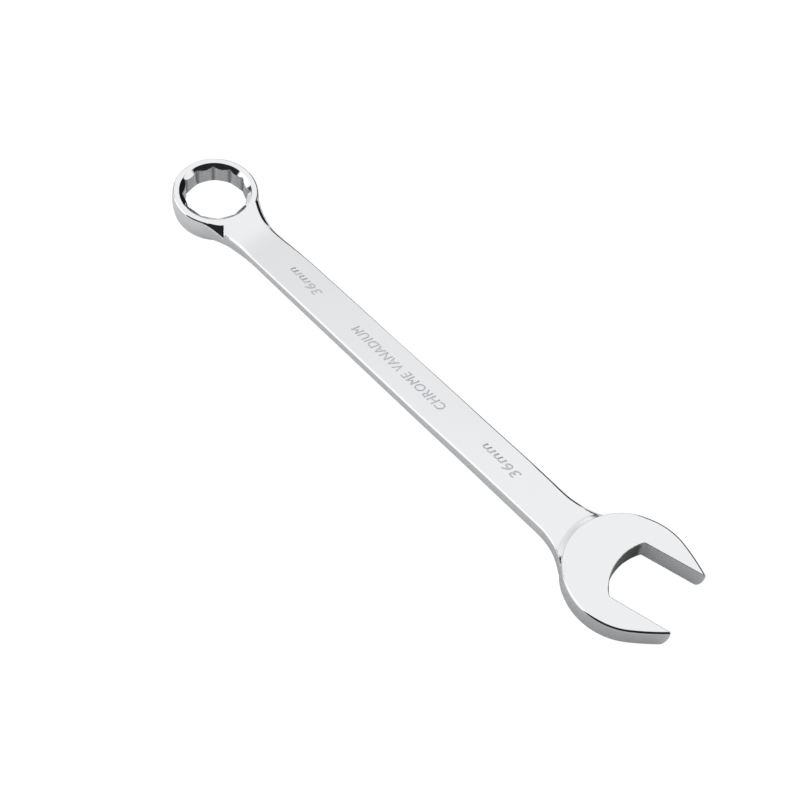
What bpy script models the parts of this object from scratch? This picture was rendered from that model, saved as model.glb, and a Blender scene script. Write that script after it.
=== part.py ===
"""A 36 mm combination wrench: an open jaw and a twelve-point ring on one drop-forged shank.

The forging is modelled in its own frame, in metres. The origin is midway between the two inner
corners of the jaw, on the shank's mid-plane. +X runs along the shank to the ring and +Z is up.
Lengths along the shank follow its centre line, which bends upwards just before the ring. At the
end the forging is laid down as it rests on a bench, with the origin under the middle of its box.
"""

import math

import bmesh
import bpy
from mathutils import Matrix, Vector

# Open end
OPENING = 0.0362
JAW_ANGLE = math.radians(15)
HEAD_RADIUS = 0.0331
HEAD_FORWARD = 0.0012
HEAD_THICKNESS = 0.012
HEAD_EDGE = 0.0015
JAW_EDGE = 0.0004
THROAT_RADIUS = 0.030
ARM_RADIUS = 0.120
ARM_START = math.radians(62.5)
TIP_RADIUS = 0.0007
TIP_REACH = 0.0334
TIP_CUT = 0.0036
TIP_CUT_HEIGHT = 0.0095

# Shank
SHANK_OFFSET = 0.0027
SHANK_EDGE = 0.0012
HALF_WIDTH_AT_HEAD = 0.0126
HALF_WIDTH_AT_RING = 0.01305
HALF_HEIGHT_AT_HEAD = 0.0041
HALF_HEIGHT_AT_MIDDLE = 0.00345
SWELL_HALF_HEIGHT = 0.0057
WIDENS = (0.090, 0.150)
THINS = (0.070, 0.150)
WEB_RISE = (0.296, 0.328)
SWELL = (0.292, 0.316)
BELLY = (0.316, 0.340)
FIRST_STATION = 0.010
LAST_STATION = 0.335
FLARES = (0.052, 0.280)
HEAD_FILLET = 0.040
RING_FILLET = 0.070

# Ring end
RING_AT = 0.3529
RING_RADIUS = 0.0268
RING_CROWN = 0.0006
RING_TOP = 0.0046
RING_BOTTOM = -0.0124
RING_TOP_EDGE = 0.0012
RING_BOTTOM_EDGE = 0.0018
RING_TILT = math.radians(12)
BEND_START = 0.305
BEND_RADIUS = 0.120
POCKET_WIDTH = 0.0050
POCKET_DEPTH = 0.0009
POCKET_INSET_AT = (0.322, 0.3285, 0.337)
POCKET_DROP_AT = (0.310, 0.325, 0.337)

# Twelve-point socket, 36 mm across flats
SOCKET_FLATS = 0.0362
SOCKET_POINTS = 12
GROOVE_ROUND = 0.0013
TOOTH_ROUND = 0.0022
TOP_CHAMFER_RADIUS = 0.0227
TOP_CHAMFER_DEPTH = 0.0034
BOTTOM_CHAMFER_RADIUS = 0.0227
BOTTOM_CHAMFER_DEPTH = 0.0050
CUT_CLEARANCE = 0.002

ARC_STEP = math.radians(5)
TIP_STEP = math.radians(30)
ARM_STEP = math.radians(2)
CORNER_STEPS = 3
WALL_STEPS = 4
HEAD_WALL_STEPS = 5
STATION_STEP = 0.0025
LONG_STATION_STEP = 0.012


def smooth(value, start, end):
    """0 before start, 1 after end, and a smooth S between them."""
    share = min(max((value - start) / (end - start), 0.0), 1.0)
    return share * share * (3 - 2 * share)


def blend(value, start, end, low, high):
    return low + (high - low) * smooth(value, start, end)


def arc(centre, radius, start, end, step=ARC_STEP):
    """Points on an arc from the angle start to the angle end, with both ends."""
    count = max(2, math.ceil(abs(end - start) / step))
    angles = (start + (end - start) * i / count for i in range(count + 1))
    return [centre + radius * Vector((math.cos(a), math.sin(a))) for a in angles]


def loft(name, loops):
    """A closed mesh object through loops of equal length, with its two ends capped."""
    mesh = bmesh.new()
    rings = [[mesh.verts.new(point) for point in loop] for loop in loops]
    count = len(rings[0])
    for lower, upper in zip(rings, rings[1:]):
        for i in range(count):
            j = (i + 1) % count
            mesh.faces.new((lower[i], lower[j], upper[j], upper[i]))
    mesh.faces.new(rings[0])
    mesh.faces.new(rings[-1])
    bmesh.ops.recalc_face_normals(mesh, faces=mesh.faces)
    data = bpy.data.meshes.new(name)
    mesh.to_mesh(data)
    mesh.free()
    obj = bpy.data.objects.new(name, data)
    bpy.context.collection.objects.link(obj)
    return obj


def round_inset(depth, radius):
    """How far a rounded edge is drawn in at this depth below the face it leads to."""
    below = min(depth / radius, 1.0)
    return radius * (1 - math.sqrt(below * (2 - below)))


def quarter_turn():
    return [math.pi / 2 * i / CORNER_STEPS for i in range(CORNER_STEPS + 1)]


# ---------------------------------------------------------------- open end


def half_head(jaw_inset, inset):
    """Half of the head's outline, from the middle of the throat round the arm to the back.

    u runs out of the jaw and v across it. The inside of the jaw is drawn in by jaw_inset and the
    outside by inset, and both keep the centres of their arcs.
    """
    gap = OPENING / 2 + jaw_inset
    throat = Vector((math.sqrt(THROAT_RADIUS**2 - (OPENING / 2) ** 2), 0))
    inner = math.pi - math.asin(gap / (THROAT_RADIUS + jaw_inset))
    centre = Vector((HEAD_FORWARD, 0))
    towards = Vector((math.cos(ARM_START), math.sin(ARM_START)))
    arm = centre + (HEAD_RADIUS - ARM_RADIUS) * towards
    tip_v = gap + TIP_RADIUS
    reach = ARM_RADIUS - inset - TIP_RADIUS
    tip_end = math.asin((tip_v - arm.y) / reach)
    tip = Vector((arm.x + reach * math.cos(tip_end), tip_v))
    return (
        arc(throat, THROAT_RADIUS + jaw_inset, math.pi, inner)
        + arc(tip, TIP_RADIUS, -math.pi / 2, tip_end, TIP_STEP)
        + arc(arm, ARM_RADIUS - inset, tip_end, ARM_START, ARM_STEP)[1:]
        + arc(centre, HEAD_RADIUS - inset, ARM_START, math.pi)[1:]
    )


def tip_reach(height):
    """How far out of the jaw the tips reach at this height: their lower corners are rounded off."""
    below = max(TIP_CUT_HEIGHT - HEAD_THICKNESS / 2 - height, 0.0) / TIP_CUT_HEIGHT
    return TIP_REACH - TIP_CUT * (1 - math.sqrt(1 - below * below))


def head_outline(jaw_inset, inset, reach):
    """The whole outline in the forging's x and y, the jaw turned by its angle."""
    upper = [Vector((min(p.x, reach), p.y)) for p in half_head(jaw_inset, inset)]
    lower = [Vector((p.x, -p.y)) for p in reversed(upper[1:-1])]
    turn = Matrix.Rotation(math.pi + JAW_ANGLE, 2)
    return [turn @ p for p in upper + lower]


def open_end():
    half = HEAD_THICKNESS / 2
    wall = half - HEAD_EDGE
    edge = [wall + HEAD_EDGE * math.sin(a) for a in quarter_turn()]
    middle = [wall * (2 * i / HEAD_WALL_STEPS - 1) for i in range(1, HEAD_WALL_STEPS)]
    loops = []
    for height in [-h for h in reversed(edge)] + middle + edge:
        depth = half - abs(height)
        outline = head_outline(
            round_inset(depth, JAW_EDGE), round_inset(depth, HEAD_EDGE), tip_reach(height)
        )
        loops.append([(p.x, p.y, height) for p in outline])
    return loft("open_end", loops)


# ---------------------------------------------------------------- shank


def half_width(s):
    return blend(s, *WIDENS, HALF_WIDTH_AT_HEAD, HALF_WIDTH_AT_RING)


def head_centre():
    return -HEAD_FORWARD * Vector((math.cos(JAW_ANGLE), math.sin(JAW_ANGLE)))


def flank_to_head(s, side):
    """How far the side wall lies from the head's centre where it flares into the round head."""
    middle = head_centre()
    wall = HALF_WIDTH_AT_HEAD + side * (SHANK_OFFSET - middle.y)
    reach = HEAD_RADIUS + HEAD_FILLET
    centre = math.sqrt(reach**2 - (wall + HEAD_FILLET) ** 2)
    tangent = centre * HEAD_RADIUS / reach
    x = s - middle.x
    if x < tangent:
        return math.sqrt((HEAD_RADIUS - HEAD_EDGE) ** 2 - x**2)
    if x < centre:
        return wall + HEAD_FILLET - math.sqrt(HEAD_FILLET**2 - (x - centre) ** 2)
    return half_width(s) + side * (SHANK_OFFSET - middle.y)


def flank_to_ring(s):
    """How far the side of the shank lies from its centre line where it flares into the ring."""
    reach = RING_RADIUS + RING_FILLET
    centre = math.sqrt(reach**2 - (HALF_WIDTH_AT_RING + RING_FILLET) ** 2)
    before = RING_AT - s
    if before > centre:
        return half_width(s)
    return HALF_WIDTH_AT_RING + RING_FILLET - math.sqrt(RING_FILLET**2 - (centre - before) ** 2)


def flank(s, side):
    """The y of the side wall: side is 1 for the +Y side and -1 for the other."""
    if s < RING_AT / 2:
        return head_centre().y + side * flank_to_head(s, side)
    return SHANK_OFFSET + side * flank_to_ring(s)


def half_height(s):
    return blend(s, *THINS, HALF_HEIGHT_AT_HEAD, HALF_HEIGHT_AT_MIDDLE)


def top_height(s):
    return blend(s, *WEB_RISE, half_height(s), RING_TOP - RING_TOP_EDGE / 2)


def bottom_height(s):
    swell = blend(s, *SWELL, -half_height(s), -SWELL_HALF_HEIGHT)
    return swell + (RING_BOTTOM + RING_BOTTOM_EDGE + SWELL_HALF_HEIGHT) * smooth(s, *BELLY)


def pocket(s, start, deepest, end):
    """How much of the pocket beside the ring is cut here, from 0 to 1."""
    return smooth(s, start, deepest) * (1 - smooth(s, deepest, end))


def bent(s, y, height):
    """A point at a height above the centre line, carried round the bend before the ring."""
    if s <= BEND_START:
        return Vector((s, y, height))
    angle = min((s - BEND_START) / BEND_RADIUS, RING_TILT)
    beyond = s - BEND_START - angle * BEND_RADIUS
    arm = BEND_RADIUS - height
    x = BEND_START + arm * math.sin(angle) + beyond * math.cos(angle)
    z = BEND_RADIUS - arm * math.cos(angle) + beyond * math.sin(angle)
    return Vector((x, y, z))


def corner(y, side, height, rise, inset, drop):
    """Points round one long edge, from its flat face out and round to the side wall."""
    return [
        (y - side * inset * (1 - math.sin(a)), height - rise * drop * (1 - math.cos(a)))
        for a in quarter_turn()
    ]


def section(s):
    """One cross-section of the shank, as a loop that starts at the lower edge on the -Y side."""
    near, far = flank(s, 1), flank(s, -1)
    top, bottom = top_height(s), bottom_height(s)
    inset = SHANK_EDGE + POCKET_WIDTH * pocket(s, *POCKET_INSET_AT)
    drop = SHANK_EDGE + POCKET_DEPTH * pocket(s, *POCKET_DROP_AT)
    loop = (
        corner(far, -1, bottom, -1, SHANK_EDGE, SHANK_EDGE)[::-1]
        + corner(near, 1, bottom, -1, SHANK_EDGE, SHANK_EDGE)
        + corner(near, 1, top, 1, inset, drop)[::-1]
        + corner(far, -1, top, 1, SHANK_EDGE, SHANK_EDGE)
    )
    return [bent(s, y, height) for y, height in loop]


def stations():
    """Places along the shank: close together where it flares, far apart where it is straight."""
    places = [FIRST_STATION]
    while places[-1] < LAST_STATION:
        straight = FLARES[0] < places[-1] < FLARES[1]
        places.append(places[-1] + (LONG_STATION_STEP if straight else STATION_STEP))
    return places


def shank():
    return loft("shank", [section(s) for s in stations()])


# ---------------------------------------------------------------- ring end


def ring_placement():
    """Carries a point from the ring's own frame, with its axis on Z, to the forging's."""
    return Matrix.Translation(bent(RING_AT, SHANK_OFFSET, 0)) @ Matrix.Rotation(-RING_TILT, 4, "Y")


def turned(name, profile):
    """A round body about the ring's axis, through (radius, height) pairs."""
    place = ring_placement()
    loops = []
    for radius, height in profile:
        circle = arc(Vector((0, 0)), radius, 0, math.tau)[:-1]
        loops.append([place @ Vector((p.x, p.y, height)) for p in circle])
    return loft(name, loops)


def ring_body():
    """A barrel: its wall swells a little between the rounded lower and upper edges."""
    low, high = RING_BOTTOM + RING_BOTTOM_EDGE, RING_TOP - RING_TOP_EDGE
    profile = []
    for a in quarter_turn():
        inset = RING_BOTTOM_EDGE * (1 - math.sin(a))
        profile.append((RING_RADIUS - inset, low - RING_BOTTOM_EDGE * math.cos(a)))
    for i in range(1, WALL_STEPS):
        share = i / WALL_STEPS
        swell = RING_CROWN * 4 * share * (1 - share)
        profile.append((RING_RADIUS + swell, low + share * (high - low)))
    for a in quarter_turn():
        inset = RING_TOP_EDGE * (1 - math.cos(a))
        profile.append((RING_RADIUS - inset, high + RING_TOP_EDGE * math.sin(a)))
    return turned("ring", profile)


def rounded(before, point, after, radius):
    """The fillet arc that replaces one corner of a polygon."""
    back, ahead = (before - point).normalized(), (after - point).normalized()
    half = back.angle(ahead) / 2
    centre = point + (back + ahead).normalized() * radius / math.sin(half)
    first = point + back * radius / math.tan(half) - centre
    last = point + ahead * radius / math.tan(half) - centre
    return [centre + radius * (first.lerp(last, i / 2)).normalized() for i in range(3)]


def socket_outline():
    """Two hexagons turned half a corner apart, with their corners and teeth rounded."""
    groove = SOCKET_FLATS / 2 / math.cos(math.pi / 6)
    tooth = SOCKET_FLATS / 2 / math.cos(math.pi / SOCKET_POINTS)
    corners = []
    for i in range(2 * SOCKET_POINTS):
        angle = math.pi * i / SOCKET_POINTS
        radius = tooth if i % 2 else groove
        corners.append(radius * Vector((math.cos(angle), math.sin(angle))))
    outline = []
    for i, point in enumerate(corners):
        following = corners[(i + 1) % len(corners)]
        outline += rounded(corners[i - 1], point, following, TOOTH_ROUND if i % 2 else GROOVE_ROUND)
    return outline


def socket_cutter():
    place = ring_placement()
    outline = socket_outline()
    loops = []
    for height in (RING_BOTTOM - CUT_CLEARANCE, RING_TOP + CUT_CLEARANCE):
        loops.append([place @ Vector((p.x, p.y, height)) for p in outline])
    return loft("socket_cutter", loops)


def chamfer_cutter(name, face, outward, radius, depth):
    """A cone that widens the socket's mouth. outward is 1 at the top face and -1 at the bottom."""
    inner = SOCKET_FLATS / 2
    slope = (radius - inner) / depth
    widest = radius + slope * CUT_CLEARANCE
    profile = [(inner, face - outward * depth), (widest, face + outward * CUT_CLEARANCE)]
    return turned(name, profile)


# ---------------------------------------------------------------- assembly


def combine(body, other, operation):
    """Applies a Boolean of other to body and removes other."""
    modifier = body.modifiers.new(operation.lower(), "BOOLEAN")
    modifier.object = other
    modifier.operation = operation
    modifier.solver = "EXACT"
    graph = bpy.context.evaluated_depsgraph_get()
    data = bpy.data.meshes.new_from_object(body.evaluated_get(graph))
    body.modifiers.clear()
    body.data = data
    bpy.data.objects.remove(other)


def chrome():
    material = bpy.data.materials.new("polished_chrome")
    material.use_nodes = True
    shader = material.node_tree.nodes["Principled BSDF"]
    shader.inputs["Base Color"].default_value = (0.80, 0.81, 0.83, 1)
    shader.inputs["Metallic"].default_value = 1.0
    shader.inputs["Roughness"].default_value = 0.06
    return material


def lay_down(body):
    """Turns the forging until jaw and ring both touch the bench, and centres it over the origin."""
    points = [v.co for v in body.data.vertices]
    middle = BEND_START / 2
    low_jaw = min((p for p in points if p.x < middle), key=lambda p: (round(p.z, 6), p.x))
    low_ring = min((p for p in points if p.x > middle), key=lambda p: p.z)
    rise = math.atan2(low_jaw.z - low_ring.z, low_ring.x - low_jaw.x)
    body.data.transform(Matrix.Rotation(-rise, 4, "Y"))
    spans = [[v.co[axis] for v in body.data.vertices] for axis in range(3)]
    centre = Vector(((min(spans[0]) + max(spans[0])) / 2, (min(spans[1]) + max(spans[1])) / 2, 0))
    body.data.transform(Matrix.Translation(-centre - Vector((0, 0, min(spans[2])))))


def main():
    for old in list(bpy.data.objects):
        bpy.data.objects.remove(old)
    body = shank()
    combine(body, open_end(), "UNION")
    combine(body, ring_body(), "UNION")
    combine(body, socket_cutter(), "DIFFERENCE")
    for name, face, outward, radius, depth in (
        ("top_chamfer", RING_TOP, 1, TOP_CHAMFER_RADIUS, TOP_CHAMFER_DEPTH),
        ("bottom_chamfer", RING_BOTTOM, -1, BOTTOM_CHAMFER_RADIUS, BOTTOM_CHAMFER_DEPTH),
    ):
        combine(body, chamfer_cutter(name, face, outward, radius, depth), "DIFFERENCE")
    lay_down(body)
    body.name = "wrench_forging"
    body.data.name = "wrench_forging"
    body.data.materials.clear()
    body.data.materials.append(chrome())
    body.data.shade_smooth()
    body.data.set_sharp_from_angle(angle=math.radians(25))


main()
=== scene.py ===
"""Looks of the combination wrench: the polished forging, its raised marks, the table and the light.

The forging's surface is the zero level of a function of (s, y, h) in millimetres: s along the
shank's centre line from the middle of the jaw, y across it and h above it. The surface is netted
on a grid, drawn exactly onto the zero level, and then carried round the bend before the ring.
"""

import math

import bmesh
import bpy
import numpy as np
from mathutils import Matrix, Vector


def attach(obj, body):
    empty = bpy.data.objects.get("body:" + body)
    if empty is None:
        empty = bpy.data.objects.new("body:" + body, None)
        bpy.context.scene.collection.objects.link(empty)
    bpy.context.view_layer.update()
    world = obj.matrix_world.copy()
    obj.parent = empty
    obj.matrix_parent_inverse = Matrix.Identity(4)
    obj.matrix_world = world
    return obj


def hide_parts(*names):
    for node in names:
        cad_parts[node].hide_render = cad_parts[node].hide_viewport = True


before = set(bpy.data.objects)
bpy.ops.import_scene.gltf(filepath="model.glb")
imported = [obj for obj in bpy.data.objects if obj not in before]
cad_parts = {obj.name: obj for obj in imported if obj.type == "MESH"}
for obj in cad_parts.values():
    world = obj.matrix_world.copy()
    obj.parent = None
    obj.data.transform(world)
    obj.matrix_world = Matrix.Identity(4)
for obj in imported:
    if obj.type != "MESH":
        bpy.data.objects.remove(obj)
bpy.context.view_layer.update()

MM = 0.001

# Open end
HALF_OPENING = 18.1
JAW_ANGLE = math.radians(15)
HEAD_RADIUS = 33.1
HEAD_FORWARD = 1.2
HALF_HEAD = 6.0
HEAD_EDGE = 1.5
JAW_EDGE = 0.4
JAW_CORNER = 0.35
THROAT_RADIUS = 30.0
ARM_RADIUS = 120.0
ARM_START = math.radians(62.5)
TIP_REACH = 32.85
TIP_EDGE = 0.8
TIP_CUT = 3.6
TIP_CUT_HEIGHT = 9.5
STEP_START = 31.2
STEP_END = 36.8

# Shank
SHANK_OFFSET = 2.7
SHANK_EDGE = 1.2
HALF_WIDTH_AT_HEAD = 12.6
HALF_WIDTH_AT_RING = 13.05
HALF_HEIGHT_AT_HEAD = 4.1
HALF_HEIGHT_AT_MIDDLE = 3.45
SWELL_HALF_HEIGHT = 5.7
HEAD_FILLET = 40.0
RING_FILLET = 70.0

# Ring end
RING_AT = 352.9
RING_RADIUS = 26.8
RING_CROWN = 0.6
RING_TOP = 4.6
RING_BOTTOM = -12.4
RING_TOP_EDGE = 1.2
RING_BOTTOM_EDGE = 1.8
RING_TILT = math.radians(12)
BEND_START = 305.0
BEND_RADIUS = 120.0
SHANK_END = RING_AT - 10
EDGE_GROWS = (265, 315)
SHANK_EDGE_AT_RING = 1.9
FAR_EDGE_AT_RING = 4.2
FAR_EDGE_AT_HEAD = 2.6
FAR_EDGE_SHRINKS = (34, 85)
# How far the visual lies inside the solid
SKIN = 0.045

# Pockets. Their floors fall at the first slope, and the metal behind their rims stays above the second
POCKET_SLOPE = 0.61
BACK_SLOPE = 2.5
POCKET_SOFT = 0.3
# Beside the ring: (place on the rim, the way the floor faces, the way the wall faces)
RING_POCKET = ((327.4, 14.1), math.radians(137), math.radians(68))
# The pocket and, on the far side, the bevel where the shank runs into the open end
HEAD_POCKET = ((26.1, 20.0), math.radians(138))
BEVEL_SLOPE = 0.5
BEVEL_ENDS = (31, 50)
BEVEL_WIDTH = 3.4
# The edges are sharper there: (start, end) along the shank, and their radius
HEAD_EDGE_SHARPENS = (12, 22)
HEAD_EDGE_AT_POCKET = 0.5
SHANK_EDGE_GROWS = (27, 36)
SHANK_EDGE_AT_POCKET = 0.4

# The shank's upper and lower faces, by place along it: (start, end)
WEB_RISE = (296, 328)
THINS = (70, 150)
SWELLS = (292, 316)
DEEPENS = (316, 340)
WIDENS = (90, 150)
# The head is worked out below the first place and the ring beyond the second
HEAD_END = 60
RING_START = 300

# Socket
HALF_FLATS = 18.1
GROOVE_ROUND = 0.6
TOOTH_ROUND = 2.2
CHAMFER_RADIUS = 22.7
TOP_CHAMFER_DEPTH = 3.4
BOTTOM_CHAMFER_DEPTH = 5.0
SOCKET_EDGE = 0.2

# Cut faces: how near a point must be to count, and how much each kind darkens the colour: the jaw's
# and the socket's cut faces by their own duller tone, the throat and the socket's grooves by painted
# shade
CUT_REACH = (0.1, 0.4)
THROAT_SIDES = (HALF_OPENING - 2.5, HALF_OPENING - 0.4)
GROOVE_PAINTED_SHADE_FOLDS = (0.02, 0.09)
JAW_SHADE = 0.08
THROAT_PAINTED_SHADE = 0.77
SOCKET_SHADE = 0.15
GROOVE_PAINTED_SHADE = 0.45

# Raised marks
MARK_HEIGHT = 5.6
MARK_RISE = 0.16
MARK_SLANT = 0.25
# Letters, in shares of their height
LETTER_SPACING = 1.1
LETTER_RESOLUTION = 4
LETTER_BODY = 0.02
LETTER_BEVEL = 0.035
LETTER_THINNER = -0.03
LETTER_WELD = 0.00001
LETTER_SHARP = math.radians(50)
MARKS = (
    ("size_mark_at_jaw", "36mm", 74, 27),
    ("size_mark_at_ring", "36mm", 244.5, 28),
    ("steel_mark", "CHROME VANADIUM", 133, 78),
)

# How the forging lies on the table
REST_PITCH = math.radians(0.6250989)
REST_OFFSET = Vector((-0.172007412, 0.000304678, 0.00636640564))


# ---------------------------------------------------------------- shape functions


def smooth(value, start, end):
    share = np.clip((value - start) / (end - start), 0, 1)
    return share * share * (3 - 2 * share)


def blend(value, start, end, low, high):
    return low + (high - low) * smooth(value, start, end)


def both(a, b, radius):
    """The part inside a and b, with a round edge where they meet."""
    return np.minimum(np.maximum(a, b), -radius) + np.hypot(
        np.maximum(a + radius, 0), np.maximum(b + radius, 0)
    )


def either(a, b, radius):
    """The part inside a or b, with a fillet where they meet."""
    return -both(-a, -b, radius)


def head_outer(u, v):
    """The head's outline without its jaw: a round back and two flatter arms."""
    side = np.abs(v)
    arm_u = HEAD_FORWARD + (HEAD_RADIUS - ARM_RADIUS) * math.cos(ARM_START)
    arm_v = (HEAD_RADIUS - ARM_RADIUS) * math.sin(ARM_START)
    on_arm = np.arctan2(side, u - HEAD_FORWARD) < ARM_START
    arm = np.hypot(u - arm_u, side - arm_v) - ARM_RADIUS
    back = np.hypot(u - HEAD_FORWARD, side) - HEAD_RADIUS
    return np.where(on_arm, arm, back)


def jaw_gap(u, v):
    """Negative inside the jaw's opening."""
    middle = math.sqrt(THROAT_RADIUS**2 - HALF_OPENING**2)
    throat = np.hypot(np.minimum(u - middle, 0), v) - THROAT_RADIUS
    return both(np.abs(v) - HALF_OPENING, throat, JAW_CORNER)


def tip_reach(h):
    below = np.clip((TIP_CUT_HEIGHT - HALF_HEAD - h) / TIP_CUT_HEIGHT, 0, 1)
    return TIP_REACH - TIP_CUT * (1 - np.sqrt(1 - below * below))


def head_centre():
    return -HEAD_FORWARD * math.cos(JAW_ANGLE), -HEAD_FORWARD * math.sin(JAW_ANGLE)


def flank_at_head(s, y, side):
    """Distance outside the side wall, from the round head along its fillet to the shank."""
    cx, cy = head_centre()
    wall = HALF_WIDTH_AT_HEAD + side * (SHANK_OFFSET - cy)
    reach = HEAD_RADIUS + HEAD_FILLET
    centre = math.sqrt(reach**2 - (wall + HEAD_FILLET) ** 2)
    tangent = centre * HEAD_RADIUS / reach
    x, out = s - cx, side * (y - cy)
    disc = np.hypot(x, out) - HEAD_RADIUS
    fillet = HEAD_FILLET - np.hypot(x - centre, out - wall - HEAD_FILLET)
    grown = blend(s, *WIDENS, 0, HALF_WIDTH_AT_RING - HALF_WIDTH_AT_HEAD)
    straight = out - wall - grown
    return np.where(x < tangent, disc, np.where(x < centre, fillet, straight))


def flank_at_ring(s, y, side):
    reach = RING_RADIUS + RING_FILLET
    centre = math.sqrt(reach**2 - (HALF_WIDTH_AT_RING + RING_FILLET) ** 2)
    tangent = centre * RING_RADIUS / reach
    x, out = RING_AT - s, side * (y - SHANK_OFFSET)
    disc = np.hypot(x, out) - RING_RADIUS
    fillet = RING_FILLET - np.hypot(x - centre, out - HALF_WIDTH_AT_RING - RING_FILLET)
    return np.where(x < tangent, disc, np.where(x < centre, fillet, out - HALF_WIDTH_AT_RING))


def flank(s, y):
    near = np.where(s < RING_AT / 2, flank_at_head(s, y, 1), flank_at_ring(s, y, 1))
    far = np.where(s < RING_AT / 2, flank_at_head(s, y, -1), flank_at_ring(s, y, -1))
    return np.maximum(near, far)


def table(s, pairs):
    """A smooth curve through (s, value) pairs."""
    places = np.array([p[0] for p in pairs], float)
    values = np.array([p[1] for p in pairs], float)
    slopes = np.gradient(values, places)
    i = np.clip(np.searchsorted(places, s) - 1, 0, len(places) - 2)
    step = places[i + 1] - places[i]
    t = np.clip((s - places[i]) / step, 0, 1)
    return (
        values[i] * (1 + 2 * t) * (1 - t) ** 2
        + slopes[i] * step * t * (1 - t) ** 2
        + values[i + 1] * t * t * (3 - 2 * t)
        + slopes[i + 1] * step * t * t * (t - 1)
    )


def crease(s, y, place, facing, level_, fall):
    """A slope that falls away from a line through place and rises steeply behind it."""
    out = (s - place[0]) * math.cos(facing) + (y - place[1]) * math.sin(facing)
    return level_ - np.where(out > 0, fall, BACK_SLOPE) * out


def lesser(a, b, soft):
    """The smaller of two heights, with the corner between them rounded."""
    return np.minimum(a, b) - np.maximum(soft - np.abs(a - b), 0) ** 2 / (4 * soft)


def level(s):
    return blend(s, *THINS, HALF_HEIGHT_AT_HEAD, HALF_HEIGHT_AT_MIDDLE)


def head_step(s, y):
    """1 on the head's flat face and 0 on the shank's, with a soft S between them."""
    cx, cy = head_centre()
    return 1 - smooth(np.hypot(s - cx, y - cy), STEP_START, STEP_END)


def top_face(s, y):
    """Height of the upper face: shank, web and head, and the pockets beside the ring and the head."""
    face = blend(s, *WEB_RISE, level(s), RING_TOP)
    place, facing, wall_facing = RING_POCKET
    floor = crease(s, y, place, facing, RING_TOP, POCKET_SLOPE)
    wall = crease(s, y, place, wall_facing, RING_TOP, BACK_SLOPE)
    face = lesser(face, np.maximum(floor, wall), POCKET_SOFT)
    face = face + (HALF_HEAD - face) * head_step(s, y)
    face = lesser(face, crease(s, y, *HEAD_POCKET, HALF_HEIGHT_AT_HEAD, POCKET_SLOPE), POCKET_SOFT)
    out = blend(s, *BEVEL_ENDS, BEVEL_WIDTH, 0) + flank_at_head(s, y, -1)
    bevel = HALF_HEIGHT_AT_HEAD - np.where(out > 0, BEVEL_SLOPE, BACK_SLOPE) * out
    return np.where(s < BEVEL_ENDS[1], lesser(face, bevel, POCKET_SOFT), face)


def bottom_face(s, y):
    face = blend(s, *SWELLS, -level(s), -SWELL_HALF_HEIGHT)
    deeper = RING_BOTTOM + RING_BOTTOM_EDGE + SWELL_HALF_HEIGHT
    face = face + deeper * smooth(s, *DEEPENS)
    return face - (HALF_HEAD + face) * head_step(s, y)


def jaw_frame(s, y):
    """(out of the jaw, across it)"""
    u = -(s * math.cos(JAW_ANGLE) + y * math.sin(JAW_ANGLE))
    return u, s * math.sin(JAW_ANGLE) - y * math.cos(JAW_ANGLE)


def head(s, y, h):
    u, v = jaw_frame(s, y)
    edge = blend(s, *HEAD_EDGE_SHARPENS, HEAD_EDGE, HEAD_EDGE_AT_POCKET)
    body = both(head_outer(u, v), np.abs(h) - HALF_HEAD, edge)
    return body, both(-jaw_gap(u, v), u - tip_reach(h), TIP_EDGE)


def bent(s, y, h):
    """The place of (s, y, h) once the centre line is bent upwards before the ring."""
    angle = np.clip((s - BEND_START) / BEND_RADIUS, 0, RING_TILT)
    before = np.minimum(s, BEND_START)
    beyond = np.maximum(s - BEND_START - angle * BEND_RADIUS, 0)
    arm = BEND_RADIUS - h
    x = before + arm * np.sin(angle) + beyond * np.cos(angle)
    z = BEND_RADIUS - arm * np.cos(angle) + beyond * np.sin(angle)
    return x, y, z


def ring_frame(s, y, h):
    """(across, sideways, up) in the ring's own frame."""
    x, _, z = bent(s, y, h)
    ox, _, oz = bent(np.float64(RING_AT), 0.0, 0.0)
    dx, dz = x - ox, z - oz
    c, n = math.cos(RING_TILT), math.sin(RING_TILT)
    return dx * c + dz * n, y - SHANK_OFFSET, dz * c - dx * n


def ring_body(radius, up):
    low, high = RING_BOTTOM + RING_BOTTOM_EDGE, RING_TOP - RING_TOP_EDGE
    share = np.clip((up - low) / (high - low), 0, 1)
    wall = radius - RING_RADIUS - RING_CROWN * 4 * share * (1 - share)
    return both(both(wall, up - RING_TOP, RING_TOP_EDGE), RING_BOTTOM - up, RING_BOTTOM_EDGE)


def socket_wall(across, sideways):
    """Negative in the metal round the twelve-point outline, and the angle from the next groove."""
    radius = np.hypot(across, sideways)
    twelfth = math.tau / 12
    turn = np.arctan2(sideways, across)
    fold = np.abs((turn + twelfth / 2) % twelfth - twelfth / 2)
    px, py = radius * np.cos(fold), radius * np.sin(fold)
    c, n = math.cos(twelfth), math.sin(twelfth)
    wall = HALF_FLATS - (px * c + py * n)
    over_groove = HALF_FLATS - (px * c - py * n)
    over_tooth = HALF_FLATS - px
    points = np.where(
        fold < twelfth / 4,
        either(wall, over_groove, GROOVE_ROUND),
        both(wall, over_tooth, TOOTH_ROUND),
    )
    return points, fold


def socket(across, sideways, up):
    """Negative in the metal round the twelve-point socket and its two chamfers."""
    radius = np.hypot(across, sideways)
    points, _ = socket_wall(across, sideways)
    wide = CHAMFER_RADIUS - HALF_FLATS
    top = HALF_FLATS + (up - RING_TOP + TOP_CHAMFER_DEPTH) * wide / TOP_CHAMFER_DEPTH
    low = HALF_FLATS + (RING_BOTTOM + BOTTOM_CHAMFER_DEPTH - up) * wide / BOTTOM_CHAMFER_DEPTH
    top = (top - radius) / math.hypot(1, wide / TOP_CHAMFER_DEPTH)
    low = (low - radius) / math.hypot(1, wide / BOTTOM_CHAMFER_DEPTH)
    return both(both(points, top, SOCKET_EDGE), low, SOCKET_EDGE)


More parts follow.
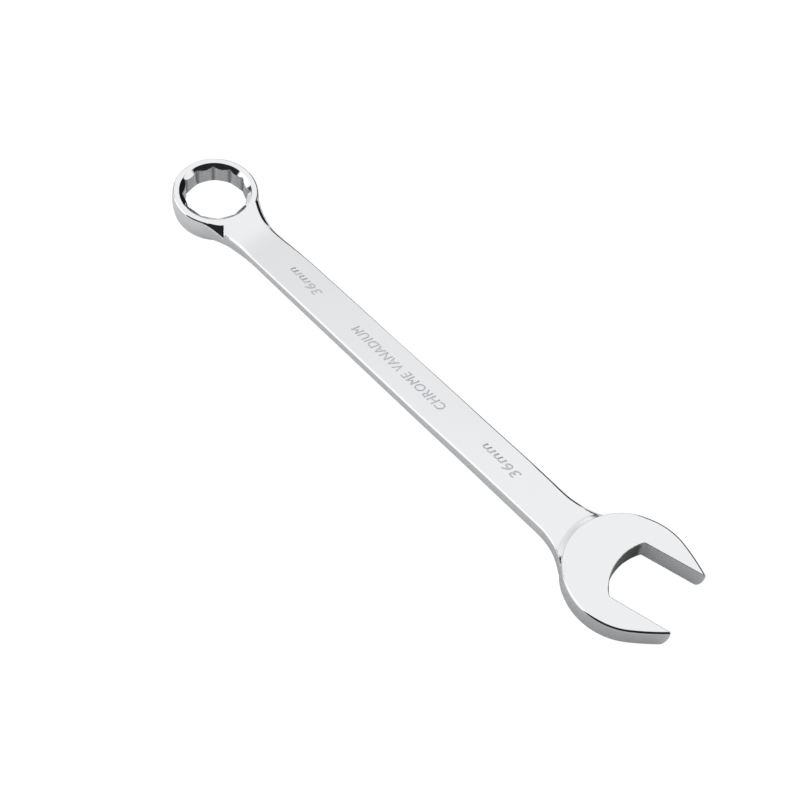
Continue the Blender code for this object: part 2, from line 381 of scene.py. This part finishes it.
def forging(s, y, h):
    """Negative inside the metal."""
    face = np.maximum(h - top_face(s, y), bottom_face(s, y) - h)
    near = blend(s, *EDGE_GROWS, SHANK_EDGE, SHANK_EDGE_AT_RING)
    near = near + blend(s, *SHANK_EDGE_GROWS, SHANK_EDGE_AT_POCKET - SHANK_EDGE, 0)
    far = blend(s, *EDGE_GROWS, SHANK_EDGE, FAR_EDGE_AT_RING)
    far = far + blend(s, *FAR_EDGE_SHRINKS, FAR_EDGE_AT_HEAD - SHANK_EDGE, 0)
    edge = np.where(y < SHANK_OFFSET, far, near)
    shank = both(flank(s, y), face, edge)
    shank = np.maximum(shank, np.maximum(-s, s - SHANK_END))
    body, cut = head(s, y, h)
    solid = np.where(s < HEAD_END, both(np.minimum(shank, body), cut, JAW_EDGE), shank)
    across, sideways, up = ring_frame(s, y, h)
    radius = np.hypot(across, sideways)
    ringed = np.minimum(solid, ring_body(radius, up))
    ringed = both(ringed, socket(across, sideways, up), SOCKET_EDGE)
    return np.where(s > RING_START, ringed, solid) + SKIN


def cut_faces(s, y, h):
    """How far each point lies on a broached or milled face, from 0 to 1, and its colour's brightness:
    the cut faces' own duller tone, with painted shade deep in the jaw's throat and along the socket's
    grooves.
    """
    u, v = jaw_frame(s, y)
    on_head = (s < HEAD_END) & (np.abs(h) < HALF_HEAD - JAW_EDGE)
    jaw = np.where(on_head, 1 - smooth(np.abs(jaw_gap(u, v)), *CUT_REACH), 0)
    # Painted shade deep in the jaw's throat, fading out towards its sides
    deep = 1 - smooth(np.abs(v), *THROAT_SIDES)
    across, sideways, _ = ring_frame(s, y, h)
    wall, fold = socket_wall(across, sideways)
    broached = np.where(s > RING_START, 1 - smooth(np.abs(wall), *CUT_REACH), 0)
    # Painted shade along the socket's grooves
    groove = 1 - smooth(fold, *GROOVE_PAINTED_SHADE_FOLDS)
    jaw_tone_and_painted_shade = JAW_SHADE + THROAT_PAINTED_SHADE * deep
    bright = 1 - jaw * jaw_tone_and_painted_shade - broached * (SOCKET_SHADE + GROOVE_PAINTED_SHADE * groove)
    return np.maximum(jaw, broached), bright


# ---------------------------------------------------------------- surface net

# The grid's runs, as (start, end, step)
FINE = 0.5
GRID_ALONG = (
    (-37.2, 48, FINE),
    (48, 60, 0.8),
    (60, 290, 2.0),
    (290, 318, 0.8),
    (318, 382, FINE),
)
GRID_ACROSS = ((-35, 35.6, FINE),)
GRID_UP = ((-13.4, -7, FINE), (-7, 7.4, FINE))
NORMAL_STEP = 0.03

def spaced(*runs):
    """Grid places from (start, end, step) runs laid end to end."""
    places = []
    for start, end, step in runs:
        count = round((end - start) / step)
        places += [start + (end - start) * i / count for i in range(count)]
    return np.array(places + [runs[-1][1]])


def evaluate(xs, ys, zs):
    """The forging's function on the grid, a slab at a time."""
    field = np.empty((len(xs), len(ys), len(zs)))
    for first in range(0, len(xs), 40):
        s, y, h = np.meshgrid(xs[first : first + 40], ys, zs, indexing="ij")
        field[first : first + 40] = forging(s, y, h)
    return field


def cell_points(axes, field):
    """For each cell that the surface crosses, the mean of its crossings, and the cells' numbers."""
    shape = tuple(n - 1 for n in field.shape)
    inside = field < 0
    total = np.zeros(shape + (3,))
    count = np.zeros(shape)
    for axis in range(3):
        low = np.take(field, range(shape[axis]), axis)
        high = np.take(field, range(1, shape[axis] + 1), axis)
        crossed = (low < 0) != (high < 0)
        share = np.where(crossed, low / np.where(crossed, low - high, 1), 0)
        others = [a for a in range(3) if a != axis]
        for i in (0, 1):
            for j in (0, 1):
                window = [slice(None)] * 3
                window[others[0]] = slice(i, i + shape[others[0]])
                window[others[1]] = slice(j, j + shape[others[1]])
                hit, part = crossed[tuple(window)], share[tuple(window)]
                for a in range(3):
                    grid = axes[a]
                    form = [1, 1, 1]
                    form[a] = -1
                    if a == axis:
                        start = grid[:-1].reshape(form)
                        value = start + np.diff(grid).reshape(form) * part
                    else:
                        offset = i if a == others[0] else j
                        value = grid[offset : offset + shape[a]].reshape(form)
                    total[..., a] += np.where(hit, value, 0)
                count += hit
    used = count > 0
    number = np.full(shape, -1)
    number[used] = np.arange(used.sum())
    return total[used] / count[used][:, None], number, inside


def net_faces(number, inside):
    """A quad round every grid edge that the surface crosses, wound to face outwards."""
    faces = []
    for axis in range(3):
        b, c = (axis + 1) % 3, (axis + 2) % 3
        low = [slice(1, -1)] * 3
        high = [slice(1, -1)] * 3
        low[axis], high[axis] = slice(0, -1), slice(1, None)
        start, end = inside[tuple(low)], inside[tuple(high)]
        corners = []
        for i, j in ((0, 0), (1, 0), (1, 1), (0, 1)):
            window = [slice(None)] * 3
            window[b] = slice(i, i + number.shape[b] - 1)
            window[c] = slice(j, j + number.shape[c] - 1)
            corners.append(number[tuple(window)])
        quads = np.stack(corners, -1)
        faces.append(quads[start & ~end])
        faces.append(quads[~start & end][:, ::-1])
    return np.concatenate(faces)


def gradient(points, step=0.01):
    slope = np.empty_like(points)
    for axis in range(3):
        shift = np.zeros(3)
        shift[axis] = step
        ahead = forging(*(points + shift).T)
        back = forging(*(points - shift).T)
        slope[:, axis] = (ahead - back) / (2 * step)
    return slope


def settle(points, rounds=4):
    """Moves points onto the surface along its gradient."""
    for _ in range(rounds):
        slope = gradient(points)
        size = np.maximum((slope**2).sum(1), 0.05)
        move = -(forging(*points.T) / size)[:, None] * slope
        length = np.linalg.norm(move, axis=1, keepdims=True)
        points = points + move * np.minimum(1, 0.3 / np.maximum(length, 1e-9))
    return points


def lay(points, normals):
    """Carries points and normals round the bend and down onto the table, in metres."""
    s, y, h = points.T
    world = np.stack(bent(s, y, h), 1) * MM
    angle = np.clip((s - BEND_START) / BEND_RADIUS, 0, RING_TILT)
    bending = (s > BEND_START) & (angle < RING_TILT)
    along = normals[:, 0] / np.where(bending, 1 - h / BEND_RADIUS, 1)
    up = normals[:, 2]
    level_part = along * np.cos(angle) - up * np.sin(angle)
    upright = along * np.sin(angle) + up * np.cos(angle)
    turned = np.stack((level_part, normals[:, 1], upright), 1)
    turned /= np.linalg.norm(turned, axis=1, keepdims=True)
    rest = np.array(Matrix.Rotation(-REST_PITCH, 3, "Y"))
    return world @ rest.T + np.array(REST_OFFSET), turned @ rest.T


def forging_mesh(name):
    xs = spaced(*GRID_ALONG)
    ys = spaced(*GRID_ACROSS)
    zs = spaced(*GRID_UP)
    points, number, inside = cell_points((xs, ys, zs), evaluate(xs, ys, zs))
    faces = net_faces(number, inside)
    points = settle(points)
    normals = gradient(points, NORMAL_STEP)
    normals /= np.linalg.norm(normals, axis=1, keepdims=True)
    world, turned = lay(points, normals)
    mesh = bpy.data.meshes.new(name)
    mesh.from_pydata(world.tolist(), [], faces.tolist())
    mesh.update()
    mesh.shade_smooth()
    mesh.normals_split_custom_set_from_vertices(turned.tolist())
    for key, values in zip(("cut_face", "brightness"), cut_faces(*points.T)):
        layer = mesh.attributes.new(key, "FLOAT", "POINT")
        layer.data.foreach_set("value", values.astype(np.float32))
    obj = bpy.data.objects.new(name, mesh)
    bpy.context.collection.objects.link(obj)
    return obj


def raised_mark(name, words, start, length):
    """Raised letters on the upper face of the shank, from start along it, in the face's slope."""
    curve = bpy.data.curves.new(name, "FONT")
    curve.body = words
    curve.shear = MARK_SLANT
    curve.space_character = LETTER_SPACING
    curve.resolution_u = LETTER_RESOLUTION
    curve.extrude = LETTER_BODY
    curve.bevel_depth = LETTER_BEVEL
    curve.bevel_resolution = 1
    curve.offset = LETTER_THINNER
    letters = bpy.data.objects.new(name, curve)
    bpy.context.collection.objects.link(letters)
    graph = bpy.context.evaluated_depsgraph_get()
    mesh = bpy.data.meshes.new_from_object(letters.evaluated_get(graph))
    bpy.data.objects.remove(letters)
    welded = bmesh.new()
    welded.from_mesh(mesh)
    bmesh.ops.remove_doubles(welded, verts=welded.verts, dist=LETTER_WELD)
    welded.to_mesh(mesh)
    welded.free()
    places = np.array([v.co for v in mesh.vertices])
    low, high = places.min(0), places.max(0)
    share = (places - low) / (high - low)
    s = start + length * share[:, 0]
    y = SHANK_OFFSET + MARK_HEIGHT * (share[:, 1] - 0.5)
    h = top_face(s, y) - SKIN + MARK_RISE * (2 * share[:, 2] - 1)
    up = np.zeros((len(s), 3))
    up[:, 2] = 1
    world, _ = lay(np.stack((s, y, h), 1), up)
    mesh.vertices.foreach_set("co", world.astype(np.float32).ravel())
    mesh.update()
    mesh.name = name
    mesh.shade_smooth()
    mesh.set_sharp_from_angle(angle=LETTER_SHARP)
    obj = bpy.data.objects.new(name, mesh)
    bpy.context.collection.objects.link(obj)
    return obj


# ---------------------------------------------------------------- camera, table and light

CAMERA_TARGET = Vector((154.79, 15.05, 0)) * MM
CAMERA_DISTANCE = 612.54 * MM
CAMERA_AZIMUTH = math.radians(140.18)
CAMERA_ELEVATION = math.radians(51.79)


def at_rest(point):
    return Matrix.Rotation(-REST_PITCH, 3, "Y") @ point + REST_OFFSET


def make_camera():
    flat = math.cos(CAMERA_ELEVATION)
    east = flat * math.cos(CAMERA_AZIMUTH)
    north = flat * math.sin(CAMERA_AZIMUTH)
    back = Vector((east, north, math.sin(CAMERA_ELEVATION)))
    right = Vector((0, 0, 1)).cross(back).normalized()
    turn = Matrix((right, back.cross(right), back)).transposed()
    turn = Matrix.Rotation(-REST_PITCH, 3, "Y") @ turn
    data = bpy.data.cameras.new("camera")
    data.lens, data.sensor_width = 50, 36
    camera = bpy.data.objects.new("camera", data)
    eye = at_rest(CAMERA_TARGET + back * CAMERA_DISTANCE)
    camera.matrix_world = Matrix.Translation(eye) @ turn.to_4x4()
    bpy.context.collection.objects.link(camera)
    bpy.context.scene.camera = camera


def node(tree, kind, **settings):
    made = tree.nodes.new(kind)
    for key, value in settings.items():
        setattr(made, key, value)
    return made


def math_node(tree, operation, a, b=None):
    made = node(tree, "ShaderNodeMath", operation=operation)
    for socket_, value in zip(made.inputs, (a, b)):
        if isinstance(value, (int, float)):
            socket_.default_value = value
        elif value is not None:
            tree.links.new(value, socket_)
    return made.outputs[0]


def rise(tree, value, start, end):
    """A smooth step of a socket's value from 0 at start to 1 at end."""
    made = node(tree, "ShaderNodeMapRange", interpolation_type="SMOOTHSTEP")
    tree.links.new(value, made.inputs["Value"])
    made.inputs["From Min"].default_value = start
    made.inputs["From Max"].default_value = end
    return made.outputs[0]


def mixed(tree, factor, low, high):
    """low + factor * (high - low), where low may be a socket and high is a number."""
    gap = math_node(tree, "SUBTRACT", high, low)
    return math_node(tree, "ADD", low, math_node(tree, "MULTIPLY", factor, gap))


# Cards round the table: (azimuth from, to, elevation from, to, soft edge) in degrees, brightness
ROOM = 1.015
CARDS = (
    ((20, 77, -12, 64, 8), 1.25),
    ((-72, -12, 26, 50, 16), 0.88),
    ((-30, 14, -12, 27, 12), 0.80),
    ((78, 216, -5, 80, 8), 0.02),
    ((-116, -60, -2, 45, 3), 0.01),
    ((-116, -80, 40, 55, 4), 0.01),
    ((-58, -27, -8, 5, 4), 0.01),
    ((-58, -38, 0, 24, 4), 0.01),
    ((1, 30, 27, 47, 5), 0.08),
)
SEEN_WHITE = 1.02


def card_mask(tree, azimuth, elevation, left, right, low, high, soft):
    """1 inside a card's edges and 0 outside them."""
    if right > 180:
        behind = math_node(tree, "LESS_THAN", azimuth, 0)
        azimuth = math_node(tree, "ADD", azimuth, math_node(tree, "MULTIPLY", behind, 360))
    half = soft / 2
    mask = rise(tree, azimuth, left - half, left + half)
    for value, start, end in (
        (azimuth, right + half, right - half),
        (elevation, low - half, low + half),
        (elevation, high + half, high - half),
    ):
        mask = math_node(tree, "MULTIPLY", mask, rise(tree, value, start, end))
    return mask


def make_world():
    world = bpy.data.worlds.new("studio")
    world.use_nodes = True
    bpy.context.scene.world = world
    tree = world.node_tree
    tree.nodes.clear()
    place = node(tree, "ShaderNodeTexCoord")
    split = node(tree, "ShaderNodeSeparateXYZ")
    tree.links.new(place.outputs["Generated"], split.inputs[0])
    x, y, z = split.outputs
    azimuth = math_node(tree, "MULTIPLY", math_node(tree, "ARCTAN2", y, x), 180 / math.pi)
    elevation = math_node(tree, "MULTIPLY", math_node(tree, "ARCSINE", z), 180 / math.pi)
    bright = ROOM
    path = node(tree, "ShaderNodeLightPath")
    for edges, level_ in CARDS:
        mask = card_mask(tree, azimuth, elevation, *edges)
        mask = math_node(tree, "MULTIPLY", mask, path.outputs["Is Glossy Ray"])
        bright = mixed(tree, mask, bright, level_)
    bright = mixed(tree, path.outputs["Is Camera Ray"], bright, SEEN_WHITE)
    light = node(tree, "ShaderNodeBackground")
    light.inputs["Color"].default_value = (1, 1, 1, 1)
    tree.links.new(bright, light.inputs["Strength"])
    out = node(tree, "ShaderNodeOutputWorld")
    tree.links.new(light.outputs[0], out.inputs["Surface"])


# The paper on the table, as the chrome sees it: grey, with a painted shadow that darkens it under the
# open end
PAPER_IN_PAINTED_SHADOW = 0.48
PAPER_PALE = 0.67
PAINTED_SHADOW_FADES = (-0.19, -0.12)
# As the camera sees it, it glows almost white and takes a faint shadow
PAPER_GLOW = 0.95
PAPER_SHADOW = (0.12, 0.12, 0.12, 1)
TABLE_HALF = 3.0
TABLE_DROP = 0.00005


def make_floor():
    mesh = bpy.data.meshes.new("table")
    half = TABLE_HALF
    corners = [(-half, -half, 0), (half, -half, 0), (half, half, 0), (-half, half, 0)]
    mesh.from_pydata(corners, [], [(0, 1, 2, 3)])
    floor = bpy.data.objects.new("table", mesh)
    floor.location.z = -TABLE_DROP
    bpy.context.collection.objects.link(floor)
    material = bpy.data.materials.new("white_table")
    material.use_nodes = True
    tree = material.node_tree
    tree.nodes.clear()
    matt = node(tree, "ShaderNodeBsdfDiffuse")
    along = node(tree, "ShaderNodeSeparateXYZ")
    tree.links.new(node(tree, "ShaderNodeTexCoord").outputs["Object"], along.inputs[0])
    # Painted shadow: the paper darkens towards and under the open end, seen only in the chrome's
    # reflections
    share = rise(tree, along.outputs[0], *PAINTED_SHADOW_FADES)
    grey = math_node(tree, "MULTIPLY", share, PAPER_PALE - PAPER_IN_PAINTED_SHADOW)
    tree.links.new(math_node(tree, "ADD", grey, PAPER_IN_PAINTED_SHADOW), matt.inputs["Color"])
    pale = node(tree, "ShaderNodeBsdfDiffuse")
    pale.inputs["Color"].default_value = PAPER_SHADOW
    glow = node(tree, "ShaderNodeEmission")
    glow.inputs["Strength"].default_value = PAPER_GLOW
    sheet = node(tree, "ShaderNodeAddShader")
    tree.links.new(pale.outputs[0], sheet.inputs[0])
    tree.links.new(glow.outputs[0], sheet.inputs[1])
    path = node(tree, "ShaderNodeLightPath")
    choose = node(tree, "ShaderNodeMixShader")
    tree.links.new(path.outputs["Is Camera Ray"], choose.inputs[0])
    tree.links.new(matt.outputs[0], choose.inputs[1])
    tree.links.new(sheet.outputs[0], choose.inputs[2])
    out = node(tree, "ShaderNodeOutputMaterial")
    tree.links.new(choose.outputs[0], out.inputs["Surface"])
    mesh.materials.append(material)


# Grains per metre along x, y and z
CLOUD_GRAIN = (30, 30, 30)
BUFFING_GRAIN = (60, 2600, 2600)
BROACHING_GRAIN = (1500, 1500, 90)
# What each adds to the roughness
CLOUD_ROUGH = 0.02
CUT_ROUGH = 0.22
BUFFING_ROUGH = 0.03
# Bump depths in metres
CLOUD_DEPTH = 0.00002
BUFFING_DEPTH = 0.0000003
BROACHING_DEPTH = 0.000003
POLISHED = 0.015
DULLED = 0.3
POLISHED_TINTS = ((0.820, 0.836, 0.860, 1), (0.845, 0.855, 0.865, 1))
# Tints of the marks: darker for their duller plating and, partly, as painted shade like the grey of
# recessed strokes
MARK_TINTS_WITH_PAINTED_SHADE = ((0.58, 0.59, 0.62, 1), (0.66, 0.67, 0.69, 1))


def stretched_noise(tree, coordinates, scale, detail):
    """Noise whose grains are as long as the three scales say, in grains per metre."""
    stretch = node(tree, "ShaderNodeMapping")
    stretch.inputs["Scale"].default_value = scale
    tree.links.new(coordinates, stretch.inputs["Vector"])
    noise = node(tree, "ShaderNodeTexNoise")
    noise.inputs["Scale"].default_value = 1.0
    noise.inputs["Detail"].default_value = detail
    tree.links.new(stretch.outputs[0], noise.inputs["Vector"])
    return noise.outputs["Fac"]


def bump(tree, height, depth, normal=None):
    """A bump of this depth in metres on top of an earlier one."""
    made = node(tree, "ShaderNodeBump")
    made.inputs["Strength"].default_value = 1.0
    made.inputs["Distance"].default_value = depth
    tree.links.new(height, made.inputs["Height"])
    if normal is not None:
        tree.links.new(normal, made.inputs["Normal"])
    return made.outputs[0]


def chrome(name, roughness):
    """Polished chrome: a faint wave, buffing lines along the shank and satin on the cut faces."""
    material = bpy.data.materials.new(name)
    material.use_nodes = True
    tree = material.node_tree
    shader = tree.nodes["Principled BSDF"]
    shader.inputs["Metallic"].default_value = 1.0
    place = node(tree, "ShaderNodeTexCoord").outputs["Object"]
    cut = node(tree, "ShaderNodeAttribute", attribute_name="cut_face").outputs["Fac"]
    cloud = stretched_noise(tree, place, CLOUD_GRAIN, 3)
    buffing = stretched_noise(tree, place, BUFFING_GRAIN, 2)
    broaching = stretched_noise(tree, place, BROACHING_GRAIN, 2)
    uneven = math_node(tree, "MULTIPLY", cloud, CLOUD_ROUGH)
    satin = math_node(tree, "MULTIPLY", cut, CUT_ROUGH)
    fine = math_node(tree, "MULTIPLY", buffing, BUFFING_ROUGH)
    broad = math_node(tree, "ADD", uneven, satin)
    narrow = math_node(tree, "ADD", fine, roughness)
    tree.links.new(math_node(tree, "ADD", broad, narrow), shader.inputs["Roughness"])
    wave = bump(tree, cloud, CLOUD_DEPTH)
    lines = bump(tree, buffing, BUFFING_DEPTH, wave)
    cut_lines = math_node(tree, "MULTIPLY", broaching, cut)
    tree.links.new(bump(tree, cut_lines, BROACHING_DEPTH, lines), shader.inputs["Normal"])
    return material, tree, shader, cloud


def cloudy_tint(tree, cloud, tints):
    """A colour that drifts between two tints with the cloud."""
    tint = node(tree, "ShaderNodeMix", data_type="RGBA")
    tint.inputs[6].default_value, tint.inputs[7].default_value = tints
    tree.links.new(cloud, tint.inputs[0])
    return tint.outputs[2]


def polished_chrome():
    material, tree, shader, cloud = chrome("polished_chrome", POLISHED)
    # The base colour is dimmed by the cut faces' own tone and by the painted shade in the throat and
    # the grooves
    shade = node(tree, "ShaderNodeAttribute", attribute_name="brightness").outputs["Fac"]
    dim = node(tree, "ShaderNodeVectorMath", operation="SCALE")
    tree.links.new(cloudy_tint(tree, cloud, POLISHED_TINTS), dim.inputs[0])
    tree.links.new(shade, dim.inputs["Scale"])
    tree.links.new(dim.outputs[0], shader.inputs["Base Color"])
    return material


def mark_chrome():
    """The plating on the raised letters, which the buffing wheel has dulled; their darker tint is
    partly that duller plating and partly painted shade, the grey that recessed strokes show.
    """
    material, tree, shader, cloud = chrome("mark_chrome", DULLED)
    tree.links.new(cloudy_tint(tree, cloud, MARK_TINTS_WITH_PAINTED_SHADE), shader.inputs["Base Color"])
    return material


# MAIN
make_camera()
make_world()
make_floor()
forging_piece = forging_mesh("forging")
forging_piece.data.materials.append(polished_chrome())
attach(forging_piece, "root")
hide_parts("wrench_forging")
mark_finish = mark_chrome()
for mark_name, words, start, length in MARKS:
    mark = raised_mark(mark_name, words, start, length)
    mark.data.materials.clear()
    mark.data.materials.append(mark_finish)
    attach(mark, "root")
bpy.context.scene.view_settings.view_transform = "Standard"
